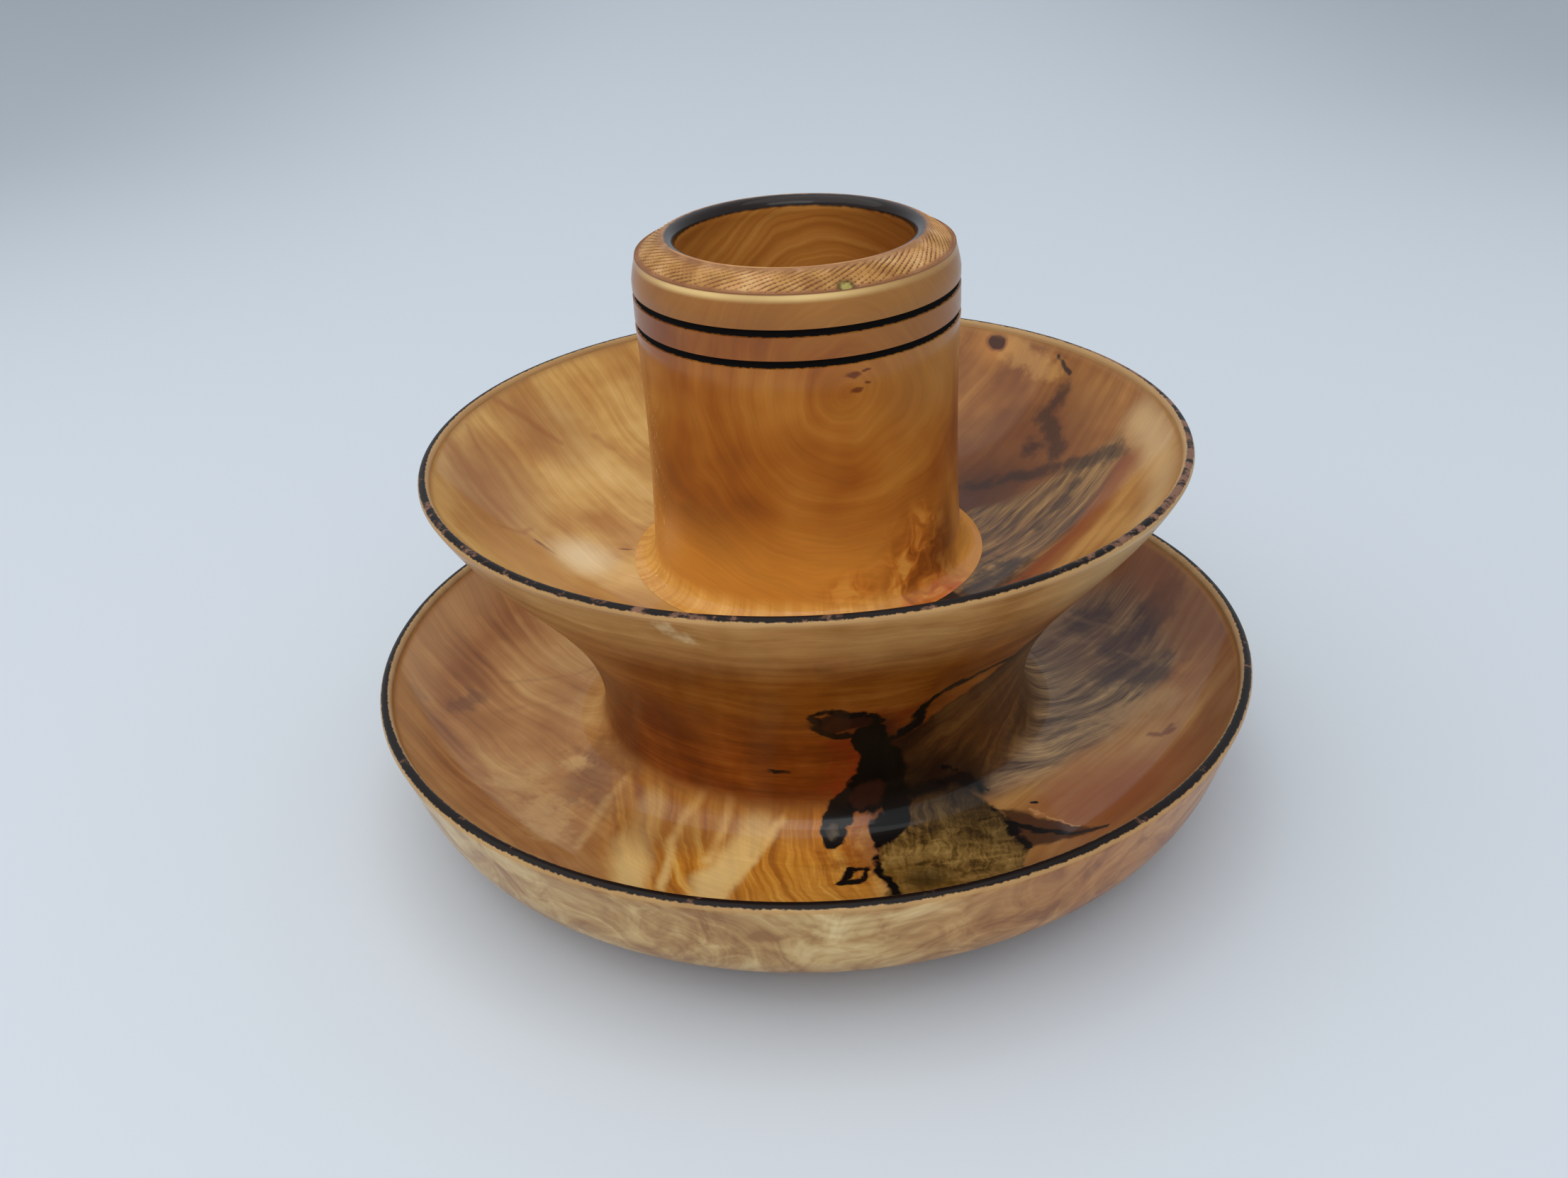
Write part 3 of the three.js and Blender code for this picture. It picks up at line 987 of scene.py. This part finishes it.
def bowl_inside():
    kit = Kit("bowl_inside")
    wavy = kit.flowing(60, 5, 11, 0.6)
    level, aside = crotch_rings(kit, wavy)
    bands, fibres = grain(kit, level, aside, 6.5, 1.1)
    cloud = kit.noise(kit.place, 30, 3, 0.55)
    tone = 0.35 * bands + 0.65 * cloud
    kit.marks = kit.wobbled()
    kit.base = kit.ramp(tone, (0.36, "#b17935"), (0.46, "#c39049"), (0.54, "#d2a45a"), (0.66, "#e1b873"))
    bowl_left_marks(kit)
    bowl_right_wood(kit, tone)
    bowl_sapwood(kit)
    bowl_stains(kit)
    knot_and_crack(kit)
    kit.paint("#b0824c", 0.5 * kit.rise(kit.z, BOWL_RIM - 2.5, BOWL_RIM))
    return lacquered(kit, 0.34 + 0.2 * fibres, fibres)


def bowl_left_marks(kit):
    mauve = kit.higher(
        kit.spot((-112, 2, 114), (22, 34, 20), 0.6),
        kit.spot((-96, 56, 118), (24, 16, 16), 0.7),
    )
    kit.paint("#955f34", 0.5 * mauve)
    arcs = kit.higher(
        kit.stroke([(-121, 31, 129), (-104, 10, 110), (-88, -10, 98)], 2.2, 0.9),
        kit.stroke([(-114, 53, 130), (-103, 56, 120), (-92, 55, 110)], 2.6, 0.9),
        kit.stroke([(-80, 66, 108), (-62, 58, 98), (-50, 50, 94)], 2.8, 0.9),
        kit.stroke([(-108, -14, 110), (-98, -8, 103), (-94, 4, 102)], 2, 0.9),
    )
    kit.paint("#99592a", 0.5 * arcs)
    # painted reflection: a pale patch of reflected light on the bowl's inside
    painted_reflection = kit.spot((-78, -9, 95), (10, 12, 8), 0.7)
    kit.paint("#f3dcac", 0.8 * painted_reflection)
    low = kit.spot((-92, -34, 104), (24, 22, 14), 0.6)
    kit.paint("#c3925a", 0.6 * low)
    front = kit.spot((-58, -50, 92), (26, 20, 12), 0.7)
    kit.paint("#b27f42", 0.6 * front)
    marks = kit.higher(
        kit.spot((-65, 3, 90.5), (2.4, 0.7, 2)),
        kit.stroke([(-94, -9, 100), (-87, -13, 98)], 1.6, 0.7),
    )
    kit.paint("#6a3020", 0.7 * marks)


def bowl_right_wood(kit, tone):
    tan = kit.ramp(tone, (0.36, "#6d3a14"), (0.46, "#824a1a"), (0.56, "#975d25"), (0.68, "#b07737"))
    kit.paint(tan, 0.92 * kit.rise(kit.x, 34, 60))
    brown = kit.patch([(46, 10), (88, 8), (112, 42), (100, 70), (60, 76), (36, 56)], 13)
    kit.paint("#6c3a16", 0.68 * brown)
    purple = kit.patch([(40, 12), (74, 20), (84, 34), (70, 50), (40, 44)], 9)
    kit.paint("#421c09", 0.68 * purple)
    gold = kit.patch([(60, -70), (150, -40), (150, 40), (112, 20), (92, -8)], 8)
    kit.paint(kit.ramp(tone, (0.38, "#9a6528"), (0.5, "#b17b3a"), (0.62, "#c9964e")), 0.85 * gold)
    cream = kit.stroke([(122, 20, 122), (124, -5, 122), (119, -32, 122), (104, -64, 121)], 15, 0.9)
    kit.paint("#dfbd86", 0.65 * cream)


def bowl_sapwood(kit):
    streaks, hairs = sapwood_grain(kit, bend=2, across=0.66, along=0.75, spacing=3.4, fibre=0.7)
    grey = kit.ramp(0.6 * streaks + 0.4 * hairs, (0.38, "#3f2c1e"), (0.46, "#6a4d30"), (0.54, "#8c693d"),
                    (0.62, "#a98550"))
    fan = kit.patch([(48, -46), (62, -50), (112, 6), (112, 22), (96, 27), (60, 22), (44, 0)], 3)
    kit.paint(grey, 0.88 * fan * kit.rise(kit.x, 40, 50))
    orange = kit.stroke([(62, -50, 91), (80, -32, 96), (98, -12, 106), (110, 4, 115)], 12, 0.7)
    kit.paint("#8c4817", 0.8 * orange)
    rust = kit.stroke([(66, -44, 91.5), (81, -27, 96), (97, -9, 105)], 4, 0.8)
    kit.paint("#8a3d17", 0.6 * rust)
    green = kit.stroke([(66, -4, 91), (84, 12, 97), (94, 22, 103)], 1.5, 0.8)
    kit.paint("#39331f", 0.6 * green)


def bowl_stains(kit):
    smudges = kit.higher(
        kit.blot([(99, 61, 120), (92, 58, 111), (93, 45, 108), (93, 37, 104)], 4, 6),
        kit.blot([(86, 47, 103)], 5, 6),
        kit.blot([(54, 40, 91), (68, 38, 94), (80, 35, 97), (92, 30, 102)], 3.4, 6),
        kit.blot([(96, 27, 105), (104, 20, 109), (112, 14, 114)], 4.4, 6),
        kit.blot([(80, -2, 95), (96, 14, 103)], 2.4, 6),
    )
    kit.paint("#2a150d", 0.68 * smudges)
    dark = kit.blot([(54, -42, 91), (66, -26, 91.5)], 8, 6)
    kit.paint("#26160c", 0.8 * dark)
    kit.marks = kit.warped(kit.place, 5, 0.6)
    void = kit.patch([(30, -48), (38, -54), (51, -45), (46, -36), (36, -42)], 0.7)
    kit.paint(CHAR, 0.95 * void)


def knot_and_crack(kit):
    """The round pin knot near the back of the rim, and the short crack beside it."""
    kit.marks = kit.warped(kit.place, 5, 0.6)
    halo = kit.spot(KNOT, (10, 10, 9), 0.6)
    kit.paint("#b97c38", 0.8 * halo)
    pale = kit.blot([(84, 92, 127), (91, 80, 124), (97, 73, 123)], 5.5, 6)
    kit.paint("#d3a058", 0.45 * pale)
    rim = kit.spot(KNOT, (5.2, 5.2, 3.6), 0.12)
    kit.paint("#8f5526", 0.8 * rim)
    heart = kit.spot(KNOT, (4, 4, 2.8), 0.15)
    kit.paint("#3c1200", 0.95 * heart)
    crack = kit.stroke([(99, 75, 128.6), (99.4, 70.8, 126.6), (101.8, 65.9, 124.7)], 1.7, 0.5)
    kit.paint("#2a1710", 0.9 * crack)


def bowl_outside():
    kit = Kit("bowl_outside")
    place = kit.flowing(50, 3, 9, 0.5)
    kit.marks = place
    x, y, z = kit.split(place)
    bands, fibres = grain(kit, z + 0.06 * x + 0.02 * y, kit.x + 0.7 * kit.y, 4.5, 0.9)
    cloud = kit.noise(kit.place, 26, 3, 0.55)
    tone = 0.5 * bands + 0.5 * cloud
    rim = kit.ramp(tone, (0.36, "#946533"), (0.48, "#a97844"), (0.58, "#b5864f"), (0.68, "#c2965e"))
    body = kit.ramp(tone, (0.36, "#6a3405"), (0.47, "#7c400a"), (0.56, "#8c4f12"), (0.68, "#a06223"))
    kit.base = kit.mix(rim, body, kit.rise(kit.z, 124, 92))
    side = kit.rise(kit.math("ABSOLUTE", kit.x), 50, 90)
    kit.paint(rim, 0.4 * side)
    # painted shade: the bowl's outside darkens into the stem colour below
    kit.paint(shaded_waist_wood(kit), kit.rise(kit.z, 82, 50))
    cream = kit.rise(kit.x + 0.4 * kit.y, 10, 60) * kit.rise(kit.z, 100, 122)
    kit.paint("#c9b083", 0.5 * cream)
    pale = kit.blot([(-42, -121, 127), (-37, -118, 124)], 3, 5)
    kit.paint("#d0b184", 0.7 * pale)
    rough = 0.32 + 0.2 * fibres
    bark_figure(kit)
    wear = 0.17 * kit.rise(kit.x, 50, 100) + 0.07 * kit.rise(kit.y + 0.6 * kit.x, -90, -130) - 0.02
    rough, coat = lip(kit, rough, BOWL_RADIUS - BOWL_LIP, BOWL_RIM, BOWL_LIP, wear)
    return lacquered(kit, rough, fibres, 0.6 * coat)


def cup_outside():
    kit = Kit("cup_outside")
    place = kit.flowing(34, 3.5, 8, 0.5)
    kit.marks = place
    rings, along = pith_rings(kit, place)
    bands = kit.noise(kit.joined(rings / 7, along / 50, kit.z / 60), 1, 3, 0.5)
    fibres = kit.noise(kit.joined(rings / 1.1, along / 20, kit.x / 20), 1, 2, 0.6)
    cloud = kit.noise(kit.place, 28, 2, 0.5)
    tone = 0.45 * bands + 0.55 * cloud
    kit.base = kit.ramp(tone, (0.36, "#83481a"), (0.46, "#97551b"), (0.55, "#a46322"), (0.68, "#b5772f"))
    corner = kit.rise(kit.x + 0.3 * (kit.z - 160), 12, 44) * kit.rise(kit.z, 135, 165)
    kit.paint("#a57336", 0.65 * corner)
    kit.paint("#dc983e", 0.7 * kit.rise(kit.z, 132, 100))
    # painted sheen: a mauve patch for the sheen near the cup's upper left edge
    mauve = kit.spot((-46, -28, 181), (12, 16, 8), 0.7)
    kit.paint("#6e381a", 0.5 * mauve)
    cup_foot(kit)
    cup_specks(kit)
    cup_top_tones(kit, cloud, fibres)
    rough = 0.32 + 0.2 * fibres
    char = burned_grooves(kit)
    kit.paint(CHAR, char)
    return kit.finish(FIBRE_RELIEF * fibres, mixed(rough, 0.9, char), 0.45 * (1 - char))


def cup_foot(kit):
    burl_place = kit.warped(kit.place, 14, 3.4, 2)
    burl = kit.noise(burl_place, 9, 2, 0.55, 0.8)
    knotty = kit.ramp(burl, (0.36, "#85430f"), (0.46, "#a9601f"), (0.55, "#c67c2e"), (0.66, "#dda04a"))
    zone = kit.higher(
        kit.spot((38, -38, 100), (17, 17, 17), 0.5),
        kit.spot((16, -54, 95), (12, 9, 8), 0.6),
    )
    kit.paint(knotty, 0.85 * zone)
    kit.marks = burl_place
    ember = kit.blot([(34, -50, 92), (44, -42, 93), (54, -28, 95)], 4.5, 7)
    kit.paint("#c4581f", 0.7 * ember)
    shade = kit.spot((46, -27, 104), (6, 10, 13), 0.7)
    kit.paint("#64300e", 0.65 * shade)
    cove = kit.rise(kit.z, 98.5, 92.5) * kit.rise(kit.x, 34, 18)
    spokes = kit.vector("SCALE", kit.vector("NORMALIZE", kit.joined(kit.x, kit.y, 0)), Scale=18)
    rays = kit.noise(spokes, 1, 3, 0.6)
    kit.paint(kit.ramp(rays, (0.36, "#cb8d3c"), (0.5, "#d89d47"), (0.64, "#e2ad5a")), 0.85 * cove)


def cup_specks(kit):
    kit.marks = kit.warped(kit.place, 3, 0.4)
    specks = kit.higher(
        kit.spot((16, -51, 172.5), (2.6, 2, 1.1)),
        kit.spot((17, -50.5, 167.5), (2.2, 2, 0.9)),
        kit.spot((20, -49.5, 173.4), (1.6, 1.5, 0.5)),
        kit.spot((20.5, -49.2, 169.3), (0.8, 1, 0.5)),
    )
    kit.paint("#5f270d", 0.85 * specks)
    fleck_zone = kit.rise(kit.x, -44, -50) * kit.rise(kit.y, 4, -10) * kit.rise(kit.z, 165, 150)
    flecks = kit.rise(kit.noise(kit.vector("MULTIPLY", kit.place, (1, 1, 0.45)), 1.1, 2, 0.6), 0.62, 0.7)
    kit.paint("#ecc27c", 0.7 * flecks * fleck_zone)


def cup_top_tones(kit, cloud, fibres):
    between = kit.rise(kit.z, GROOVES[0] - 1, GROOVES[0] + 1)
    kit.paint("#703a12", 0.4 * between)
    band = kit.rise(kit.z, CUP_TOP - 17.5, CUP_TOP - 15.5)
    kit.paint("#9a6a30", 0.5 * band)
    show_fibres(kit, fibres)
    # painted highlight: a creamy band of light along the shoulder's upper edge, strongest at the front
    # left
    over = kit.rise(kit.z, CUP_TOP - 8.2, CUP_TOP - 6.2)
    cream = over * kit.rise(kit.z, DOME_BASE - 0.1, DOME_BASE - 0.7)
    kit.marks = kit.place
    side = kit.spot((-22, -50, 197), (42, 30, 30), 0.5)
    kit.paint("#e6c584", cream * (0.2 + 0.6 * side) * (0.5 + cloud))
    # painted shadow: a dark line in the step under the carved ring
    step = kit.rise(kit.z, DOME_BASE - 0.5, DOME_BASE - 0.1)
    kit.paint("#6d4231", 0.8 * step)


def burned_grooves(kit):
    burned = []
    ragged = 0.5 * (kit.noise(kit.place, 1.6, 3, 0.6) - 0.5)
    for height in GROOVES:
        off = kit.math("ABSOLUTE", kit.z - height) + ragged
        burned.append(kit.rise(off, GROOVE_RADIUS, GROOVE_RADIUS - 0.25))
    return kit.higher(*burned)


def mouth_char(kit):
    """How far the mouth's lip is burned: widely at the back and sides, and narrowly at the front."""
    edge = kit.noise(kit.place, 3, 2) - 0.5
    front = kit.rise(kit.y, -14, -34)
    inward = kit.rise(kit.r + 1.4 * edge + 2.8 * front, DOME_CREST + 0.5, DOME_CREST - 1.2)
    return inward * kit.rise(kit.z + edge, CUP_TOP - 4, CUP_TOP - 2.8)


def cup_dome():
    kit = Kit("cup_dome")
    valley = kit.term("Attribute", {}, "Fac", attribute_name="valley")
    cloud = kit.noise(kit.place, 11, 3, 0.6)
    dust = kit.noise(kit.place, 1.3, 2, 0.6)
    kit.base = kit.ramp(cloud, (0.36, "#a4713a"), (0.47, "#b8874a"), (0.55, "#c59059"), (0.66, "#d0a46c"))
    # painted shade: the valleys of the flutes are painted dark
    kit.paint("#5a3216", 0.75 * kit.rise(valley + 0.5 * (dust - 0.5), 0.22, 0.62))
    # painted shadow: a darker band at the ring's outer edge, beside the step
    outer = kit.rise(kit.r + 0.8 * (dust - 0.5), DOME_RADIUS - 1.6, DOME_RADIUS - 0.6)
    kit.paint("#7c4a30", 0.7 * outer)
    kit.marks = kit.warped(kit.place, 3, 0.5)
    knot = kit.spot((14.8, -48.3, 200), (3.4, 2.4, 3), 0.3)
    kit.paint("#4c3a1a", 0.8 * knot)
    pith = kit.spot((14.8, -48.3, 200.2), (1.8, 1.5, 2.4), 0.4)
    kit.paint("#a79a52", 0.9 * pith)
    kit.shade(0.85 + 0.3 * dust)
    char = mouth_char(kit)
    scorch = kit.rise(kit.r + 2 * (dust - 0.5), DOME_CREST + 3, DOME_CREST + 0.4)
    kit.paint("#6b4038", 0.5 * scorch)
    kit.paint(MOUTH_CHAR, char)
    rough = mixed(0.45 + 0.2 * dust, 0.3, char)
    return kit.finish(0.12 * dust, rough, 0.15 + 0.25 * char)


def cup_inside():
    kit = Kit("cup_inside")
    place = kit.flowing(30, 3, 8, 0.5)
    x, y, z = kit.split(place)
    arcs = kit.length2(x - 14, 1.4 * (z - 168))
    bands = kit.noise(kit.joined(arcs / 3.4, y / 60, 6.2), 1, 2, 0.5)
    fibres = kit.noise(kit.joined(arcs, y / 16, x / 20), 1, 2, 0.6)
    kit.base = kit.ramp(bands, (0.34, "#ab6b2b"), (0.46, "#b87732"), (0.56, "#c2823a"), (0.68, "#cc9246"))
    kit.paint("#7c4216", 0.7 * kit.rise(kit.x, 0, 38))
    char = mouth_char(kit)
    show_fibres(kit, fibres)
    kit.paint(MOUTH_CHAR, char)
    return kit.finish(FIBRE_RELIEF * fibres, mixed(0.36 + 0.2 * fibres, 0.3, char))


SEGMENT_GROUP = segment_group()
add_camera()
add_studio()
add_floor()
dish_woods = {"outside": dish_outside(), "inside": dish_inside()}
bowl_woods = {"foot": dish_woods["inside"], "outside": bowl_outside(), "inside": bowl_inside()}
cup_woods = {"outside": cup_outside(), "dome": cup_dome(), "inside": cup_inside()}
turned("dish", "lower_dish", dish_outline(), dish_woods, SEGMENTS)
turned("bowl", "upper_bowl", bowl_outline(), bowl_woods, SEGMENTS)
turned("cup", "dip_cup", cup_outline(), cup_woods, CUP_SEGMENTS, carved)
